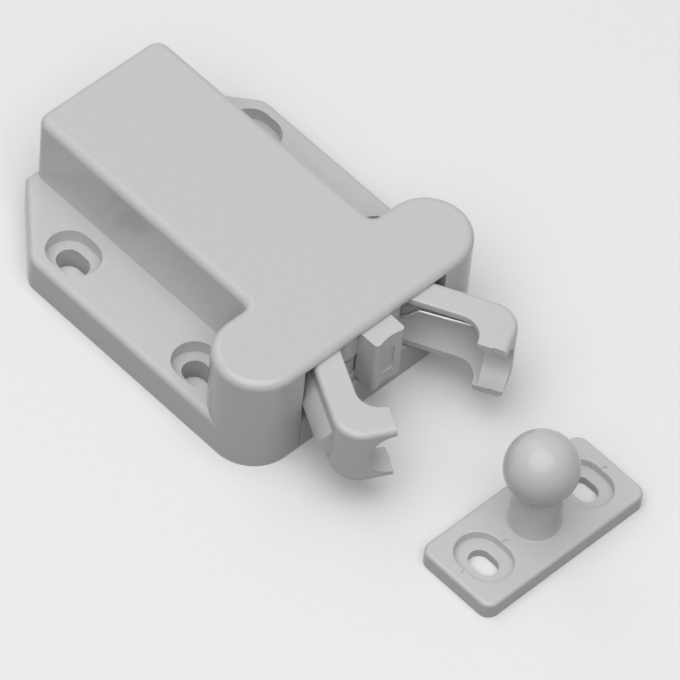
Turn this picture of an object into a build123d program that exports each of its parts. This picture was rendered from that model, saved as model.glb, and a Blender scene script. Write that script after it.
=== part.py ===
from build123d import *
import os
from math import cos, radians, sin, sqrt

os.makedirs("parts", exist_ok=True)

# All sizes in millimetres. X runs across the catch, the mouth faces -Y, Z is up.
# The origin lies on the mounting underside, midway between the four screw slots.

# Housing, outside
body_height = 18.4
box_width = 24.2
box_rear = 28.6
box_corner = 2.1
flange_width = 46.5
flange_thick = 6.1
flange_rear_width = 27.0
flange_chamfer = 11.7
flange_corner = 3.0
head_round = 6.8
head_offset = 23.4
inner_corner = 1.2
top_round = 1.3
flange_round = 1.0

# Housing screw slots
slot_spacing_x = 35.6
slot_spacing_y = 26.8
slot_width = 4.0
slot_length = 5.5
seat_width = 7.2
seat_length = 8.9
seat_depth = 2.3

# Walls and clearances
wall = 1.8
roof = 1.25
skin = 1.6
gap = 0.3
snap_gap = 0.15
pin_slack = 0.06

# Mechanism levels
floor_z = 5.9
cover_thick = 1.8
plate_low = 1.4
plate_high = 4.85

# Mouth and jaws
mouth_half = 13.8
ramp_start = 3.3
ramp_length = 4.0
pivot_x = 4.0
pivot_depth = 3.8
open_angle = 27.0
hub_round = 3.1
pin_round = 1.0
knuckle_round = 3.4
arm_in = 0.95
arm_wide = 4.45
hook_rear = 15.8
hook_front = 20.4
tip_reach = 3.0
tip_round = 0.4
tip_step = 0.15
tip_step_at = 18.2
inner_round = 3.4
outer_round = 4.2
hook_soften = 0.9
edge_soften = 0.3
rib_out = 1.6
rib_low = 3.1
rib_tall = 4.7
rib_hollow = 8.0
rib_soften = 0.6
rib_start = 4.5
rib_end = 16.5
rib_round = 2.0
wire_slot_high = 1.1
wire_slot_tall = 2.7
wire_slot_deep = 2.1
wire_slot_end = 14.2

# Ball of the strike
ball_round = 5.5
ball_ahead = 12.3
ball_play = 0.48
seat_shift = 0.55
lip_thick = 1.1
stem_play = 0.55
stem_top = 3.5
stem_base = 3.875

# Slider
travel = 8.5
slider_rear = 6.6
slider_side = 0.4
nose_half = 2.8
nose_front = 7.2
nose_lift = 0.6
nose_hollow = 0.6
nose_arc = 7.0
nose_edge = 0.6
nose_pad_wide = 2.4
nose_pad_tall = 5.0
nose_pad_deep = 0.15
web_half = 0.65
tongue_half = 4.0
lug_x = 6.6
lug_wide = 2.4
lug_long = 3.0
lug_drop = 1.6
lug_rear = -4.5

# Springs and follower
main_round = 2.5
main_wire = 0.8
main_turns = 12
main_front = -15.4
coil_round = 1.7
coil_wire = 0.5
coil_pitch = 0.53
coil_turns = 2
coil_gap = 1.3
coil_room = 0.6
leg_low = 2.1
leg_high = 2.62
pin_wire = 1.0
follower_y = 17.6
follower_reach = 20.0
follower_z = 4.6
follower_swing = 10.0
track_deep = 1.4
track_gap = 0.35

# Strike
strike_x = 1.1
strike_y = -62.8
strike_long = 31.6
strike_wide = 14.1
strike_thick = 2.9
strike_corner = 1.8
strike_round = 0.6
strike_spacing = 19.8
strike_slot = 3.4
strike_slot_long = 4.9
dish_wide = 7.2
dish_long = 9.2
dish_floor = 1.45
dish_soften = 0.25
mark_long = 0.9
mark_wide = 0.5
mark_deep = 0.2
ball_height = 15.1
collar_out = 0.2
collar_tall = 0.5
stem_flare = 0.2

# Places worked out from the sizes
head_y = -head_offset
head_length = flange_width
front_y = -head_offset - head_round
ceiling = body_height - roof
jaw_low = floor_z + gap
jaw_high = ceiling - gap
middle_z = (jaw_low + jaw_high) / 2
cavity_half = box_width / 2 - wall
cavity_rear = box_rear - wall
pivot_y = front_y + pivot_depth
fork_low = jaw_low + plate_low
fork_high = jaw_high - plate_high
hub_low = fork_low + gap
hub_high = fork_high - coil_gap
arm_out = arm_in + arm_wide
fork_clear = knuckle_round + 0.35
seat_ball = ball_round + ball_play
seat_x = seat_shift - pivot_x
slider_front = pivot_y + hub_round + 0.5
slider_half = cavity_half - slider_side
tip_y = follower_y - follower_reach
coil_z = hub_high - coil_room + coil_wire / 2 + 0.05
coil_top = coil_z + coil_pitch * coil_turns
leg_z = jaw_high - wire_slot_high - wire_slot_tall + coil_wire / 2 + 0.05
cavity_pts = [
    (mouth_half, front_y - 1.0),
    (mouth_half, front_y + ramp_start),
    (cavity_half, front_y + ramp_start + ramp_length),
    (cavity_half, cavity_rear),
]


def both_sides(points):
    """Close a right-hand half outline with its mirror image on the left."""
    return points + [(-x, y) for x, y in reversed(points)]


def polygon(points, mode=Mode.ADD):
    """Fill a closed outline given by its corner points."""
    Polygon(*points, align=None, mode=mode)


# Housing: box, screw flange and rounded cross head in one moulding
with BuildPart() as housing:
    with BuildSketch() as flange_outline:
        flange_rear = box_rear - flange_chamfer
        polygon(both_sides([
            (flange_width / 2, head_y),
            (flange_width / 2, flange_rear),
            (flange_rear_width / 2, box_rear),
        ]))
        side_corners = flange_outline.vertices().filter_by_position(Axis.Y, flange_rear - 1, flange_rear + 1)
        fillet(side_corners, flange_corner)
        fillet(flange_outline.vertices().group_by(Axis.Y)[-1], flange_round)
    extrude(amount=flange_thick)
    rim = [
        e for e in housing.edges().group_by(Axis.Z)[-1]
        if e.center().Y > head_y + 1 and abs(e.center().X) > 1
    ]
    fillet(rim, flange_round)
    # Seats for the screw heads, which the cross head stands over at the front
    with BuildSketch(Plane.XY.offset(flange_thick - seat_depth)):
        with GridLocations(slot_spacing_x, slot_spacing_y, 2, 2):
            SlotOverall(seat_length, seat_width, rotation=90)
    extrude(amount=seat_depth, mode=Mode.SUBTRACT)
    with BuildSketch() as top_outline:
        with Locations((0, (box_rear + head_y) / 2)):
            RectangleRounded(box_width, box_rear - head_y, box_corner)
        with Locations((0, head_y)):
            SlotOverall(head_length, 2 * head_round)
        hollow = [
            v for v in top_outline.vertices()
            if abs(abs(v.X) - box_width / 2) < 0.01
            and abs(v.Y - head_y - head_round) < 0.01
        ]
        fillet(hollow, inner_corner)
    extrude(amount=body_height)
    fillet(housing.faces().sort_by(Axis.Z)[-1].edges(), top_round)
    # Screw slots
    with BuildSketch():
        with GridLocations(slot_spacing_x, slot_spacing_y, 2, 2):
            SlotOverall(slot_length, slot_width, rotation=90)
    extrude(amount=flange_thick - seat_depth, mode=Mode.SUBTRACT)
    # Cavity for the mechanism, open at the mouth and below
    with BuildSketch():
        polygon(both_sides(cavity_pts))
    extrude(amount=ceiling, mode=Mode.SUBTRACT)
    # Hollows under the ends of the cross head
    with BuildSketch() as lobes:
        with Locations((0, head_y)):
            SlotOverall(head_length - 2 * skin, 2 * (head_round - skin))
            Rectangle(2 * (mouth_half + skin), 4 * head_round, mode=Mode.SUBTRACT)
    extrude(amount=ceiling - 0.4, mode=Mode.SUBTRACT)
    # Hollows under the flange between the screw bosses
    hollow_x = box_width / 2 + 0.2
    hollow_w = flange_width / 2 - skin - hollow_x
    hollow_l = slot_spacing_y / 2 - seat_length / 2 - skin
    with BuildSketch():
        with GridLocations(2 * hollow_x + hollow_w, hollow_l + skin, 2, 2):
            Rectangle(hollow_w, hollow_l)
    extrude(amount=flange_thick - 2.0, mode=Mode.SUBTRACT)
    # Recesses for the snap lugs of the cover
    with BuildSketch(Plane.XY.offset(0.4)):
        with GridLocations(0, 30.0, 1, 2):
            Rectangle(2 * cavity_half + 1.3, 5.0)
    extrude(amount=1.6, mode=Mode.SUBTRACT)
    # Stops under the roof that hold the slider at rest
    with BuildSketch(Plane.XY.offset(ceiling - lug_drop)):
        with Locations((lug_x, lug_rear - lug_long / 2), (-lug_x, lug_rear - lug_long / 2)):
            Rectangle(lug_wide, lug_long)
    extrude(amount=lug_drop + 0.2)
    # Spigot for the rear end of the main spring
    with BuildSketch(Plane(origin=(0, cavity_rear + 0.5, middle_z), z_dir=(0, -1, 0))):
        Circle(main_round - main_wire / 2 - 0.2)
    extrude(amount=4.5)

# Snap-in bottom cover with the sill of the mouth and the rails of the slider
with BuildPart() as bottom_cover:
    sill_rear = front_y + ramp_start + ramp_length
    with BuildSketch():
        polygon(both_sides([
            (mouth_half - snap_gap, front_y),
            (mouth_half - snap_gap, front_y + ramp_start),
            (cavity_half - snap_gap, sill_rear),
            (cavity_half - snap_gap, cavity_rear - snap_gap),
        ]))
    extrude(amount=cover_thick)
    with BuildSketch():
        polygon(both_sides([
            (mouth_half - snap_gap, front_y),
            (mouth_half - snap_gap, front_y + ramp_start),
            (cavity_half - snap_gap, sill_rear),
        ]))
    extrude(amount=floor_z)
    # Rails under the slider
    rail_x = cavity_half - snap_gap - 1.6
    rail_l = cavity_rear - 2.0 - sill_rear
    with BuildSketch():
        with Locations((rail_x, sill_rear + rail_l / 2), (-rail_x, sill_rear + rail_l / 2)):
            Rectangle(2.0, rail_l)
    extrude(amount=floor_z)
    # Hollows under the sill
    with BuildSketch():
        with GridLocations(8.6, 0, 3, 1):
            with Locations((0, front_y + 3.0)):
                Rectangle(7.2, 3.4)
    extrude(amount=floor_z - 1.5, mode=Mode.SUBTRACT)
    # Snap lugs
    with BuildSketch(Plane.XY.offset(0.7)):
        with GridLocations(0, 30.0, 1, 2):
            Rectangle(2 * cavity_half + 0.6, 4.0)
    extrude(amount=0.9)
    # Bearing of the follower
    with BuildSketch():
        with Locations((0, follower_y)):
            Circle(2.4)
    extrude(amount=follower_z - pin_wire / 2 - gap)
    with BuildSketch(Plane.XY.offset(0.7)):
        with Locations((0, follower_y)):
            Circle(pin_wire / 2 + pin_slack)
    extrude(amount=follower_z, mode=Mode.SUBTRACT)

# Slider with the nose that the ball strikes and the forks of the jaws
with BuildPart() as slider:
    with BuildSketch(Plane.XY.offset(jaw_low)):
        with Locations((0, (slider_front + slider_rear) / 2)):
            Rectangle(2 * slider_half, slider_rear - slider_front)
    extrude(amount=jaw_high - jaw_low)
    # Fork plates above and below the jaw hubs
    for low, tall in ((jaw_low, plate_low), (fork_high, plate_high)):
        with BuildSketch(Plane.XY.offset(low)):
            with Locations((0, (pivot_y + slider_front) / 2)):
                Rectangle(2 * (pivot_x + hub_round), slider_front - pivot_y)
            with Locations((pivot_x, pivot_y), (-pivot_x, pivot_y)):
                Circle(knuckle_round)
        extrude(amount=tall)
    # Nose block
    with BuildSketch(Plane.XY.offset(jaw_low + nose_lift)) as nose:
        with Locations((0, (pivot_y - nose_front + slider_front) / 2)):
            Rectangle(2 * nose_half, slider_front - pivot_y + nose_front)
        with Locations((0, pivot_y - nose_front - nose_arc + nose_hollow)):
            Circle(nose_arc, mode=Mode.SUBTRACT)
        fillet(nose.vertices().group_by(Axis.Y)[0], nose_edge)
    extrude(amount=jaw_high - jaw_low - nose_lift)
    # Shallow pad on the face that the ball strikes
    nose_face = Plane(origin=(0, pivot_y - nose_front, middle_z), x_dir=(1, 0, 0), z_dir=(0, 1, 0))
    with BuildSketch(nose_face):
        RectangleRounded(nose_pad_wide, nose_pad_tall, nose_edge)
    extrude(amount=nose_hollow + nose_pad_deep, mode=Mode.SUBTRACT)
    # Room for the jaw hubs beside the web
    with BuildSketch(Plane.XY.offset(fork_low)):
        with Locations((pivot_x, pivot_y), (-pivot_x, pivot_y)):
            Circle(pivot_x - web_half)
        for side in (1, -1):
            with Locations((side * (web_half + nose_half + 1) / 2, (pivot_y + slider_front) / 2)):
                Rectangle(nose_half + 1 - web_half, slider_front - pivot_y)
    extrude(amount=fork_high - fork_low, mode=Mode.SUBTRACT)
    # Holes for the pivot pins
    with BuildSketch(Plane.XY.offset(jaw_low)):
        with Locations((pivot_x, pivot_y), (-pivot_x, pivot_y)):
            Circle(pin_round + 0.02)
    extrude(amount=jaw_high - jaw_low, mode=Mode.SUBTRACT)
    # Anchor slots for the short legs of the jaw springs
    with BuildSketch(Plane.XY.offset(coil_z - coil_wire / 2 - 0.15)):
        for side in (1, -1):
            with Locations((side * (pivot_x + 0.7), slider_front + 0.4)):
                Rectangle(3.0, 1.7)
    extrude(amount=coil_wire + 0.3, mode=Mode.SUBTRACT)
    # Bore for the main spring
    bore_round = main_round + main_wire / 2 + 0.3
    with BuildSketch(Plane(origin=(0, slider_rear, middle_z), z_dir=(0, -1, 0))):
        Circle(bore_round)
    extrude(amount=slider_rear - main_front, mode=Mode.SUBTRACT)
    # Grooves that run past the stops of the housing
    groove_l = travel + lug_long + 2 * gap
    groove_y = lug_rear + gap - groove_l / 2
    with BuildSketch(Plane.XY.offset(jaw_high - lug_drop)):
        with Locations((lug_x, groove_y), (-lug_x, groove_y)):
            Rectangle(lug_wide + 2 * gap, groove_l)
    extrude(amount=lug_drop, mode=Mode.SUBTRACT)
    # Tongue that keeps the follower in its bearing
    tongue_rear = cavity_rear - travel - gap
    with BuildSketch(Plane.XY.offset(jaw_low)):
        with Locations((0, (slider_rear + tongue_rear) / 2)):
            Rectangle(2 * tongue_half, tongue_rear - slider_rear)
    extrude(amount=track_deep)
    # Heart-shaped track of the follower on the underside
    lane = pin_wire / 2 + track_gap
    swing_x = follower_reach * sin(radians(follower_swing))
    swing_y = follower_reach * (1 - cos(radians(follower_swing)))
    press_y = tip_y - travel
    with BuildSketch(Plane.XY.offset(jaw_low)) as track:
        polygon([
            (-lane, tip_y + lane + swing_y),
            (-lane, press_y - lane),
            (swing_x + lane, press_y - lane),
            (swing_x + lane, tip_y + lane + swing_y),
        ])
        island_x = swing_x / 2
        island_half = swing_x / 2 - lane
        island_rear = tip_y - lane
        polygon([
            (island_x - island_half, island_rear - 1.2),
            (island_x, island_rear),
            (island_x + island_half, island_rear - 1.2),
            (island_x + island_half, press_y + lane + swing_y),
            (island_x, press_y + lane + swing_y + 0.7),
            (island_x - island_half, press_y + lane),
        ], mode=Mode.SUBTRACT)
    extrude(amount=track_deep, mode=Mode.SUBTRACT)

# Right jaw, drawn in its own frame: pivot at the origin, arm along -Y, outside +X
turn = radians(open_angle)
arm_frame = Plane(
    origin=(pivot_x, pivot_y, 0),
    x_dir=(cos(turn), sin(turn), 0),
    z_dir=(0, 0, 1),
)


def jaw_plane(height):
    """Sketch plane of the opened right jaw at a height."""
    return arm_frame.offset(height)


def arm_section(ahead):
    """Plane across the right arm, outside +X and height +Y, ahead of the pivot."""
    section = Plane(
        origin=(pivot_x, pivot_y, 0),
        x_dir=(cos(turn), sin(turn), 0),
        z_dir=(sin(turn), -cos(turn), 0),
    )
    return section.offset(ahead)


# Wedge-shaped rib along the outside of the right jaw
with BuildPart() as jaw_rib:
    with BuildSketch(arm_section(rib_start)) as rib_profile:
        with BuildLine():
            rib_x = arm_out + rib_out
            rib_foot = jaw_low + rib_low
            rib_top = rib_foot + rib_tall
            Polyline((arm_out, rib_top), (arm_out - 1, rib_top), (arm_out - 1, rib_foot), (rib_x, rib_foot))
            RadiusArc((rib_x, rib_foot), (arm_out, rib_top), -rib_hollow)
        make_face()
        fillet(rib_profile.vertices().group_by(Axis.Y)[0].sort_by(Axis.X)[-1], rib_soften)
    extrude(amount=rib_end - rib_start)
    with BuildSketch(jaw_plane(rib_foot - 0.1)) as rib_plan:
        polygon([
            (arm_out - 1.1, -rib_start), (arm_out, -rib_start), (rib_x, -rib_start - 2.5),
            (rib_x, -rib_end), (arm_out - 1.1, -rib_end),
        ])
        fillet(rib_plan.vertices().group_by(Axis.Y)[0].sort_by(Axis.X)[-1], rib_round)
    extrude(amount=rib_top - rib_foot + 0.2, mode=Mode.INTERSECT)

# Round channel that the ball runs along with its spherical seat, between the lips of the jaw
with BuildPart() as ball_seat:
    with BuildSketch(arm_section(0)):
        with Locations((seat_x, middle_z)):
            Circle(seat_ball)
    extrude(amount=ball_ahead)
    with Locations(arm_frame.from_local_coords((seat_x, -ball_ahead, middle_z))):
        Sphere(seat_ball)
    with BuildSketch(jaw_plane(jaw_low + lip_thick)):
        with Locations((seat_x, -ball_ahead / 2)):
            Rectangle(3 * seat_ball, 3 * hook_front)
    extrude(amount=jaw_high - jaw_low - 2 * lip_thick, mode=Mode.INTERSECT)

with BuildPart() as right_jaw:
    with BuildSketch(jaw_plane(jaw_low)):
        with BuildLine():
            bend_y = -hook_rear + inner_round
            corner_y = -hook_front + outer_round
            bend_x = arm_in - inner_round
            Line((arm_in, -1.5), (arm_in, bend_y))
            RadiusArc((arm_in, bend_y), (bend_x, -hook_rear), inner_round)
            Line((bend_x, -hook_rear), (tip_round - tip_reach, -hook_rear))
            RadiusArc(
                (tip_round - tip_reach, -hook_rear),
                (-tip_reach, -hook_rear - tip_round), -tip_round,
            )
            Line((-tip_reach, -hook_rear - tip_round), (-tip_reach, -hook_front))
            Line((-tip_reach, -hook_front), (arm_out - outer_round, -hook_front))
            RadiusArc((arm_out - outer_round, -hook_front), (arm_out, corner_y), -outer_round)
            Line((arm_out, corner_y), (arm_out, -1.5))
            Line((arm_out, -1.5), (arm_in, -1.5))
        make_face()
    extrude(amount=jaw_high - jaw_low)
    # Rounded edges, fuller on the outside than towards the ball
    rims = right_jaw.edges().filter_by(Plane.XY)
    outer_rim = [
        e for e in rims
        if arm_frame.to_local_coords(e.center()).X > arm_out - outer_round / 2
        or arm_frame.to_local_coords(e.center()).Y < 1 - hook_front
    ]
    fillet(outer_rim, hook_soften)
    inner_rim = [
        e for e in right_jaw.edges().filter_by(Plane.XY)
        if arm_frame.to_local_coords(e.center()).X < arm_in + 0.1
        and arm_frame.to_local_coords(e.center()).Y > 1 - hook_front
    ]
    fillet(inner_rim, edge_soften)
    add(jaw_rib.part)
    # Shallow step of the tip face
    with BuildSketch(jaw_plane(jaw_low)):
        polygon([
            (-tip_reach - 1, -tip_step_at), (tip_step - tip_reach, -tip_step_at),
            (tip_step - tip_reach, -hook_front - 1), (-tip_reach - 1, -hook_front - 1),
        ])
    extrude(amount=jaw_high - jaw_low, mode=Mode.SUBTRACT)
    add(ball_seat.part, mode=Mode.SUBTRACT)
    # Groove for the stem of the ball
    with BuildSketch(arm_section(ball_ahead)):
        with Locations((-tip_reach, middle_z)):
            Circle(stem_top + stem_play)
    extrude(amount=hook_front - ball_ahead + 1, mode=Mode.SUBTRACT)
    # Slot of the spring leg under the upper lip
    with BuildSketch(jaw_plane(jaw_high - wire_slot_high - wire_slot_tall)):
        polygon([
            (-tip_reach, 0), (arm_in + wire_slot_deep, 0),
            (arm_in + wire_slot_deep, -wire_slot_end), (-tip_reach, -wire_slot_end),
        ])
    extrude(amount=wire_slot_tall, mode=Mode.SUBTRACT)
    # Clearance round the fork plates
    with BuildSketch(jaw_plane(jaw_low)):
        Circle(fork_clear)
    extrude(amount=jaw_high - jaw_low, mode=Mode.SUBTRACT)
    # Hub and the link that carries the arm
    with BuildSketch(jaw_plane(hub_low)):
        Circle(hub_round)
        seat_depth_x = seat_x + seat_ball
        polygon([
            (0.0, 0.5), (arm_out - 0.6, 0.5), (arm_out, -0.1), (arm_out, -fork_clear - 1),
            (seat_depth_x, -fork_clear - 1), (hub_round / 2, -hub_round * 0.86),
        ])
    extrude(amount=hub_high - hub_low)
    with BuildSketch(jaw_plane(hub_low)):
        Circle(pin_round + pin_slack)
    extrude(amount=hub_high - hub_low, mode=Mode.SUBTRACT)
    # Pocket of the spring coil in the top of the hub, with the ways out of its legs
    with BuildSketch(jaw_plane(hub_high - coil_room)):
        Circle(coil_round + coil_wire / 2 + 0.3)
        with Locations((coil_round / 2, hub_round / 2)):
            Rectangle(coil_round + 0.9, hub_round + 0.2)
    extrude(amount=coil_room, mode=Mode.SUBTRACT)

with BuildPart() as left_jaw:
    mirror(right_jaw.part, about=Plane.YZ)


def wire_run(points, radius):
    """Round wire through a list of points, with rounded knees."""
    for start, end in zip(points, points[1:]):
        axis = Vector(*end) - Vector(*start)
        add(Solid.make_cylinder(radius, axis.length, Plane(origin=start, z_dir=axis)))
    for knee in points[1:-1]:
        with Locations(knee):
            Sphere(radius)


def spring_coil(pitch, turns, radius, wire, left):
    """Open coil about the Z axis, starting on the X axis."""
    path = Helix(pitch, pitch * turns, radius, lefthand=left)
    section = Plane(origin=path @ 0, z_dir=path % 0) * Circle(wire / 2)
    return sweep(section, path=path, is_frenet=True)


# Steel pivot pins of the jaws
with BuildPart() as right_pivot_pin:
    with BuildSketch(Plane.XY.offset(jaw_low + 0.2)):
        with Locations((pivot_x, pivot_y)):
            Circle(pin_round)
    extrude(amount=jaw_high - jaw_low - 0.4)
    chamfer(right_pivot_pin.edges().filter_by(GeomType.CIRCLE), 0.2)

with BuildPart() as left_pivot_pin:
    mirror(right_pivot_pin.part, about=Plane.YZ)

# Torsion springs that open the jaws
jaw_coil = spring_coil(coil_pitch, coil_turns, coil_round, coil_wire, True)
with BuildPart() as right_torsion_spring:
    add(arm_frame.offset(coil_z).location * jaw_coil)
    long_leg = [
        (coil_round, 0.15, coil_top), (coil_round, -fork_clear, coil_top),
        (leg_low, -fork_clear - 1.6, leg_z), (leg_high, gap - wire_slot_end, leg_z),
    ]
    short_leg = [(coil_round, -0.15, coil_z), (coil_round, 4.0, coil_z)]
    for leg in (long_leg, short_leg):
        wire_run([tuple(arm_frame.from_local_coords(p)) for p in leg], coil_wire / 2 - 0.02)

with BuildPart() as left_torsion_spring:
    mirror(right_torsion_spring.part, about=Plane.YZ)

# Main spring behind the slider
spring_l = cavity_rear - main_front - main_wire - 0.1
back_coil = spring_coil(spring_l / main_turns, main_turns, main_round, main_wire, False)
with BuildPart() as main_spring:
    spring_at = main_front + main_wire / 2 + 0.05
    spring_frame = Plane(origin=(0, spring_at, middle_z), x_dir=(1, 0, 0), z_dir=(0, 1, 0))
    add(spring_frame.location * back_coil)

# Wire follower that latches the slider
with BuildPart() as latch_pin:
    wire_run(
        [
            (0, follower_y, 0.9), (0, follower_y, follower_z),
            (0, tip_y, follower_z), (0, tip_y, jaw_low + track_deep - gap),
        ],
        pin_wire / 2,
    )

# Ball strike for the door
with BuildPart() as strike:
    with BuildSketch():
        with Locations((strike_x, strike_y)):
            RectangleRounded(strike_long, strike_wide, strike_corner)
    extrude(amount=strike_thick)
    fillet(strike.faces().sort_by(Axis.Z)[-1].edges(), strike_round)
    with BuildSketch(Plane.XY.offset(dish_floor)):
        with Locations((strike_x, strike_y)):
            with GridLocations(strike_spacing, 0, 2, 1):
                SlotOverall(dish_long, dish_wide, rotation=90)
    extrude(amount=strike_thick, mode=Mode.SUBTRACT)
    dish_rims = [
        e for e in strike.edges().group_by(Axis.Z)[-1]
        if abs(e.center().Y - strike_y) < dish_long / 2 + 0.1
        and abs(abs(e.center().X - strike_x) - strike_spacing / 2) < dish_wide / 2 + 0.1
    ]
    fillet(dish_rims, dish_soften)
    # Centre marks beside the dishes
    with BuildSketch(Plane.XY.offset(strike_thick - mark_deep)):
        with Locations((strike_x, strike_y)):
            with GridLocations(strike_spacing, 0, 2, 1):
                Rectangle(dish_wide + 2 * mark_long, mark_wide)
    extrude(amount=mark_deep, mode=Mode.SUBTRACT)
    with BuildSketch():
        with Locations((strike_x, strike_y)):
            with GridLocations(strike_spacing, 0, 2, 1):
                SlotOverall(strike_slot_long, strike_slot, rotation=90)
    extrude(amount=strike_thick, mode=Mode.SUBTRACT)
    # Stem, collar and ball turned about one axis
    ball_sink = sqrt(ball_round ** 2 - stem_top ** 2)
    collar_z = ball_height - ball_sink - 0.1
    with BuildSketch(Plane(origin=(strike_x, strike_y, 0), x_dir=(1, 0, 0), z_dir=(0, -1, 0))):
        with BuildLine():
            Polyline(
                (0, 0.5), (stem_base + stem_flare, 0.5), (stem_base + stem_flare, strike_thick),
                (stem_base, strike_thick + stem_flare),
                (stem_top + 0.02, collar_z - collar_tall - 0.1),
                (stem_top + collar_out, collar_z - collar_tall),
                (stem_top + collar_out, collar_z),
                (stem_top, ball_height - ball_sink),
            )
            RadiusArc((stem_top, ball_height - ball_sink), (ball_round, ball_height), -ball_round)
            RadiusArc((ball_round, ball_height), (0, ball_height + ball_round), -ball_round)
            Line((0, ball_height + ball_round), (0, 0.5))
        make_face()
    revolve(axis=Axis((strike_x, strike_y, 0), (0, 0, 1)))

pieces = {
    "housing": housing,
    "bottom_cover": bottom_cover,
    "slider": slider,
    "left_jaw": left_jaw,
    "right_jaw": right_jaw,
    "left_pivot_pin": left_pivot_pin,
    "right_pivot_pin": right_pivot_pin,
    "left_torsion_spring": left_torsion_spring,
    "right_torsion_spring": right_torsion_spring,
    "main_spring": main_spring,
    "latch_pin": latch_pin,
    "strike": strike,
}
for label, piece in pieces.items():
    piece.part.label = label
    export_step(piece.part, f"parts/{label}.step")
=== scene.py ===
import math

import bpy
from mathutils import Matrix, Vector


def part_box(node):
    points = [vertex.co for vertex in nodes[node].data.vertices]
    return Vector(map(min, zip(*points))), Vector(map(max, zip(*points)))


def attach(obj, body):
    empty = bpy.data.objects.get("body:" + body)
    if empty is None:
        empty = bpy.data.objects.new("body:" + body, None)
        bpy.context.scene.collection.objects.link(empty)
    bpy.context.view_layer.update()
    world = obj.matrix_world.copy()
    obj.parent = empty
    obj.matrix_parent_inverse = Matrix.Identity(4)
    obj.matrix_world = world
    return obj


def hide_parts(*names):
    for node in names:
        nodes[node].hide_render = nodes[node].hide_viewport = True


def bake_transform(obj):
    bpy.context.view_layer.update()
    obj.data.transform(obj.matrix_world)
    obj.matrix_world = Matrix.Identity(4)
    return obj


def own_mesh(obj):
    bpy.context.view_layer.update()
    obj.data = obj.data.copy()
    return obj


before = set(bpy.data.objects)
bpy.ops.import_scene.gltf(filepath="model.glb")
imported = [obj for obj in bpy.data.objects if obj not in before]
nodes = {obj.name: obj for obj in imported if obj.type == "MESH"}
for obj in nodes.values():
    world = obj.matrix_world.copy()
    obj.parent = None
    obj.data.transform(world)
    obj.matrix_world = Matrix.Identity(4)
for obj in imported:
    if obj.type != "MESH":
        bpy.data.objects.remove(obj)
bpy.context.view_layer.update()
scene = bpy.context.scene
MM = 0.001


# Camera: the photograph's long lens, from above the front left corner

CAMERA_TURN = math.radians(-48.076)
CAMERA_LIFT = math.radians(51.585)
CAMERA_ROLL = math.radians(5.904)
CAMERA_TARGET = Vector((4.11, -19.95, 0.0)) * MM
CAMERA_DISTANCE = 970.04 * MM
SENSOR_WIDTH = 36
FOCAL_PIXELS = 6726.8
PHOTO_PIXELS = 680


def aim_camera():
    """Camera that looks at its target with the roll of the photograph."""
    forward = Vector((
        -math.sin(CAMERA_TURN) * math.cos(CAMERA_LIFT),
        math.cos(CAMERA_TURN) * math.cos(CAMERA_LIFT),
        -math.sin(CAMERA_LIFT),
    ))
    side = forward.cross(Vector((0, 0, 1))).normalized()
    up = side.cross(forward)
    right = side * math.cos(CAMERA_ROLL) + up * math.sin(CAMERA_ROLL)
    top = up * math.cos(CAMERA_ROLL) - side * math.sin(CAMERA_ROLL)
    data = bpy.data.cameras.new("camera")
    data.sensor_width = SENSOR_WIDTH
    data.lens = FOCAL_PIXELS / PHOTO_PIXELS * SENSOR_WIDTH
    data.clip_start = 0.05
    data.clip_end = 20
    camera = bpy.data.objects.new("camera", data)
    scene.collection.objects.link(camera)
    facing = Matrix((right, top, -forward)).transposed().to_4x4()
    place = CAMERA_TARGET - forward * CAMERA_DISTANCE
    camera.matrix_world = Matrix.Translation(place) @ facing
    scene.camera = camera


# Material helpers

def new_material(name):
    """Node material, with its node tree and its shader."""
    material = bpy.data.materials.new(name)
    material.use_nodes = True
    tree = material.node_tree
    return material, tree, tree.nodes["Principled BSDF"]


def add_node(tree, kind, **values):
    """Node with its properties or input values set."""
    node = tree.nodes.new(kind)
    for key, value in values.items():
        if hasattr(node, key):
            setattr(node, key, value)
        else:
            node.inputs[key.replace("_", " ")].default_value = value
    return node


def noise_over(tree, vector, scale, detail, roughness=0.5):
    """Noise pattern over the given coordinates."""
    noise = add_node(tree, "ShaderNodeTexNoise", Scale=scale, Detail=detail, Roughness=roughness)
    tree.links.new(vector, noise.inputs["Vector"])
    return noise.outputs["Fac"]


def ramp_between(tree, source, low, high, start=0.35, end=0.65):
    """Colour ramp from one colour to another, driven by a pattern."""
    ramp = tree.nodes.new("ShaderNodeValToRGB")
    ramp.color_ramp.elements[0].position = start
    ramp.color_ramp.elements[0].color = (*low, 1)
    ramp.color_ramp.elements[1].position = end
    ramp.color_ramp.elements[1].color = (*high, 1)
    tree.links.new(source, ramp.inputs["Fac"])
    return ramp.outputs["Color"]


def range_between(tree, source, low, high):
    """Number from low to high, driven by a pattern or a switch from 0 to 1."""
    spread = add_node(tree, "ShaderNodeMapRange", To_Min=low, To_Max=high)
    tree.links.new(source, spread.inputs["Value"])
    return spread.outputs["Result"]


def relief_of(tree, source, strength, distance):
    """Surface normal with a fine relief, driven by a pattern."""
    bump = add_node(tree, "ShaderNodeBump", Strength=strength, Distance=distance)
    tree.links.new(source, bump.inputs["Height"])
    return bump.outputs["Normal"]


# Materials of the pieces

MOTTLE_SCALE = 700.0
POLISH_SCALE = 1500.0
PEEL_SCALE = 5000.0
LINE_SCALE = 900.0


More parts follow.
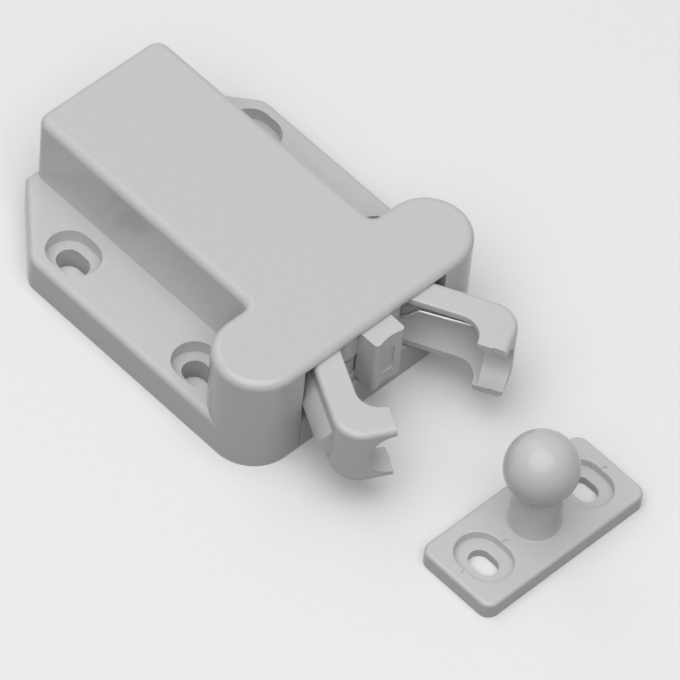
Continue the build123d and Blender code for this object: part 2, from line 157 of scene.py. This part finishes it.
def moulded_plastic(name, light, dark, rough):
    """Injection-moulded plastic: soft mottling, polish streaks, fine orange peel."""
    material, tree, shader = new_material(name)
    link = tree.links.new
    place = add_node(tree, "ShaderNodeTexCoord").outputs["Object"]
    mottle = noise_over(tree, place, MOTTLE_SCALE, 5.0, 0.55)
    polish = noise_over(tree, place, POLISH_SCALE, 3.0)
    peel = noise_over(tree, place, PEEL_SCALE, 2.0)
    link(ramp_between(tree, mottle, dark, light), shader.inputs["Base Color"])
    link(range_between(tree, polish, rough - 0.03, rough + 0.03), shader.inputs["Roughness"])
    link(relief_of(tree, peel, 0.02, 0.00002), shader.inputs["Normal"])
    shader.inputs["IOR"].default_value = 1.5
    return material


def drawn_steel(name, light, dark, rough, stretch=(1, 1, 1)):
    """Bright steel wire or ground pin with fine drawing lines."""
    material, tree, shader = new_material(name)
    link = tree.links.new
    place = add_node(tree, "ShaderNodeTexCoord")
    mapping = add_node(tree, "ShaderNodeMapping")
    mapping.inputs["Scale"].default_value = stretch
    link(place.outputs["Object"], mapping.inputs["Vector"])
    lines = noise_over(tree, mapping.outputs["Vector"], LINE_SCALE, 4.0, 0.6)
    link(ramp_between(tree, lines, dark, light), shader.inputs["Base Color"])
    link(range_between(tree, lines, rough - 0.06, rough + 0.1), shader.inputs["Roughness"])
    link(relief_of(tree, lines, 0.08, 0.00005), shader.inputs["Normal"])
    shader.inputs["Metallic"].default_value = 1.0
    return material


WHITE_LIGHT = (0.617, 0.605, 0.611)
WHITE_DARK = (0.605, 0.593, 0.599)
shell = moulded_plastic("shell_plastic", WHITE_LIGHT, WHITE_DARK, 0.16)
ball_plastic = moulded_plastic("strike_plastic", WHITE_LIGHT, WHITE_DARK, 0.22)
inner = moulded_plastic("inner_plastic", (0.617, 0.604, 0.608), (0.605, 0.592, 0.596), 0.33)
steel_wire = drawn_steel("spring_wire", (0.86, 0.86, 0.87), (0.70, 0.70, 0.71), 0.35)
steel_pin = drawn_steel("ground_pin", (0.66, 0.66, 0.67), (0.5, 0.5, 0.51), 0.22, (1, 1, 8))

finish_of = {
    "housing": shell,
    "strike": ball_plastic,
    "bottom_cover": inner,
    "slider": inner,
    "left_jaw": inner,
    "right_jaw": inner,
    "left_pivot_pin": steel_pin,
    "right_pivot_pin": steel_pin,
    "latch_pin": steel_wire,
}
for node_name, finish in finish_of.items():
    for material_slot in nodes[node_name].material_slots:
        material_slot.material = finish


# Springs: the same wire as the solids, swept as meshes in place of the model's springs

WIRE_SIDES = 14
DOME_RISE = 0.35
DOME_SHARE = 0.75


def wire_piece(name, path, radius):
    """Round wire swept along a path of points in millimetres, with domed ends."""
    points = [Vector(p) * MM for p in path]
    last = len(points) - 1
    rings = []
    side = None
    for index, point in enumerate(points):
        ahead = points[min(index + 1, last)] - points[max(index - 1, 0)]
        ahead.normalize()
        if side is None:
            side = ahead.orthogonal().normalized()
        side = (side - ahead * side.dot(ahead)).normalized()
        across = ahead.cross(side)
        shares = [(0.0, 1.0)]
        if index == 0:
            shares.insert(0, (-DOME_RISE, DOME_SHARE))
        elif index == last:
            shares.append((DOME_RISE, DOME_SHARE))
        for along, share in shares:
            centre = point + ahead * along * radius * MM
            rings.append([
                centre + (side * math.cos(turn) + across * math.sin(turn)) * radius * share * MM
                for turn in (2 * math.pi * k / WIRE_SIDES for k in range(WIRE_SIDES))
            ])
    corners = [corner for ring in rings for corner in ring]
    faces = []
    for ring in range(len(rings) - 1):
        start, ahead = ring * WIRE_SIDES, (ring + 1) * WIRE_SIDES
        for k in range(WIRE_SIDES):
            beside = (k + 1) % WIRE_SIDES
            faces.append((start + k, start + beside, ahead + beside, ahead + k))
    faces.append(tuple(reversed(range(WIRE_SIDES))))
    faces.append(tuple(range(len(corners) - WIRE_SIDES, len(corners))))
    mesh = bpy.data.meshes.new(name)
    mesh.from_pydata(corners, [], faces)
    for face in mesh.polygons:
        face.use_smooth = len(face.vertices) == 4
    mesh.materials.append(steel_wire)
    piece = bpy.data.objects.new(name, mesh)
    scene.collection.objects.link(piece)
    return piece


def soft_bends(points, rounds=3):
    """Cut the corners of a path so that the wire bends in curves."""
    for _ in range(rounds):
        cut = [points[0]]
        for start, end in zip(points, points[1:]):
            cut.append(tuple(0.75 * a + 0.25 * b for a, b in zip(start, end)))
            cut.append(tuple(0.25 * a + 0.75 * b for a, b in zip(start, end)))
        points = cut + [points[-1]]
    return points


# Sizes of the springs in millimetres. The legs are given in the frame of the open jaw
MIDDLE_Z = 11.525
PIVOT = (4.0, -26.4)
OPEN_ANGLE = math.radians(27)
COIL_ROUND = 1.7
COIL_WIRE = 0.5
COIL_TURNS = 2
COIL_STEPS = 96
COIL_LOW = 10.4
COIL_HIGH = 11.46
LEG_Z = 13.35
SHORT_LEG = [(COIL_ROUND, 3.9, COIL_LOW), (COIL_ROUND, 2.0, COIL_LOW)]
LONG_LEG_BENDS = [
    (COIL_ROUND, -1.2, COIL_HIGH), (COIL_ROUND, -3.75, COIL_HIGH),
    (2.1, -5.35, LEG_Z), (2.18, -6.6, LEG_Z),
]
LONG_LEG_TIP = (2.61, -13.8, LEG_Z)
MAIN_WIRE = 0.8
MAIN_ROUND = 2.5
MAIN_TURNS = 14
MAIN_STEPS = 40
MAIN_END_GAP = 0.02
CLOSED_PITCH = MAIN_WIRE * 1.02


def torsion_spring(name, side):
    """Jaw spring: short leg in the slider, two turns round the pin, long leg in the jaw."""
    path = list(SHORT_LEG)
    for step in range(COIL_STEPS + 1):
        share = step / COIL_STEPS
        angle = -2 * COIL_TURNS * math.pi * share
        path.append((COIL_ROUND * math.cos(angle), COIL_ROUND * math.sin(angle),
                     COIL_LOW + (COIL_HIGH - COIL_LOW) * share))
    path += soft_bends(LONG_LEG_BENDS)
    path.append(LONG_LEG_TIP)
    placed = []
    for x, y, z in path:
        across = x * math.cos(OPEN_ANGLE) - y * math.sin(OPEN_ANGLE) + PIVOT[0]
        along = x * math.sin(OPEN_ANGLE) + y * math.cos(OPEN_ANGLE) + PIVOT[1]
        placed.append((side * across, along, z))
    piece = wire_piece(name, placed, COIL_WIRE / 2)
    jaw = "right" if side > 0 else "left"
    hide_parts(jaw + "_torsion_spring")
    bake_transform(piece)


def compression_spring(name):
    """Main spring with closed ends, from the bore of the slider to the rear wall."""
    low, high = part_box("main_spring")
    front = low[1] / MM + MAIN_WIRE / 2 + MAIN_END_GAP
    rear = high[1] / MM - MAIN_WIRE / 2 - MAIN_END_GAP
    open_run = rear - front - 2 * CLOSED_PITCH
    steps = MAIN_TURNS * MAIN_STEPS
    path = []
    for step in range(steps + 1):
        turn = MAIN_TURNS * step / steps
        if turn < 1:
            along = front + CLOSED_PITCH * turn
        elif turn > MAIN_TURNS - 1:
            along = rear - CLOSED_PITCH * (MAIN_TURNS - turn)
        else:
            along = front + CLOSED_PITCH + open_run * (turn - 1) / (MAIN_TURNS - 2)
        angle = 2 * math.pi * turn
        path.append((MAIN_ROUND * math.cos(angle), along, MIDDLE_Z + MAIN_ROUND * math.sin(angle)))
    piece = wire_piece(name, path, MAIN_WIRE / 2)
    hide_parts("main_spring")
    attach(piece, "base")
    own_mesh(piece)


# Floor, world and lamps

FLOOR_SIZE = 4.0
FLOOR_DROP = 0.02 * MM
FLOOR_GRAIN = 900.0
FLOOR_DARK = (0.893, 0.893, 0.893)
FLOOR_LIGHT = (0.903, 0.903, 0.903)
FLOOR_BOUNCE = (0.06, 0.06, 0.06, 1)
LAMP_AIM = (0, -0.02, 0)
WORLD_LIGHT = 0.29
WORLD_SEEN = 0.8


def seen_directly(tree):
    """One for rays of the camera, of reflections and through glass, else zero."""
    rays = add_node(tree, "ShaderNodeLightPath")
    total = rays.outputs["Is Camera Ray"]
    for name in ("Is Glossy Ray", "Is Transmission Ray"):
        higher = add_node(tree, "ShaderNodeMath", operation="MAXIMUM")
        tree.links.new(total, higher.inputs[0])
        tree.links.new(rays.outputs[name], higher.inputs[1])
        total = higher.outputs[0]
    return total


def colour_socket(sockets, identifier):
    """Socket of a Mix node by its identifier, because its names repeat."""
    return next(socket for socket in sockets if socket.identifier == identifier)


def pale_floor():
    """Large pale card under the object, which throws little light back at it."""
    bpy.ops.mesh.primitive_plane_add(size=FLOOR_SIZE, location=(0, 0, -FLOOR_DROP))
    floor = bpy.context.object
    floor.name = "floor"
    material, tree, shader = new_material("floor_card")
    link = tree.links.new
    place = add_node(tree, "ShaderNodeTexCoord").outputs["Object"]
    grain = noise_over(tree, place, FLOOR_GRAIN, 4.0)
    tone = add_node(tree, "ShaderNodeMix", data_type="RGBA")
    link(seen_directly(tree), tone.inputs["Factor"])
    colour_socket(tone.inputs, "A_Color").default_value = FLOOR_BOUNCE
    link(ramp_between(tree, grain, FLOOR_DARK, FLOOR_LIGHT), colour_socket(tone.inputs, "B_Color"))
    link(colour_socket(tone.outputs, "Result_Color"), shader.inputs["Base Color"])
    shader.inputs["Roughness"].default_value = 0.9
    floor.data.materials.append(material)


def soft_lamp(name, place, size, power):
    """Round soft box aimed at the object."""
    data = bpy.data.lights.new(name, "AREA")
    data.shape = "DISK"
    data.size = size
    data.energy = power
    lamp = bpy.data.objects.new(name, data)
    scene.collection.objects.link(lamp)
    lamp.location = place
    aim = Vector(LAMP_AIM) - Vector(place)
    lamp.rotation_euler = aim.to_track_quat("-Z", "Y").to_euler()


def studio_world():
    """Even light from all round, pale where the camera or a reflection sees it."""
    world = bpy.data.worlds.new("studio")
    scene.world = world
    world.use_nodes = True
    tree = world.node_tree
    background = tree.nodes["Background"]
    background.inputs["Color"].default_value = (1, 1, 1, 1)
    strength = range_between(tree, seen_directly(tree), WORLD_LIGHT, WORLD_SEEN)
    tree.links.new(strength, background.inputs["Strength"])


aim_camera()
torsion_spring("right_spring_wire", 1)
torsion_spring("left_spring_wire", -1)
compression_spring("main_spring_wire")
pale_floor()
soft_lamp("key", (-0.28, -0.18, 0.94), 1.35, 8.7)
soft_lamp("rear", (0.15, 0.7, 0.8), 0.68, 0.8)
studio_world()

scene.view_settings.view_transform = "Standard"
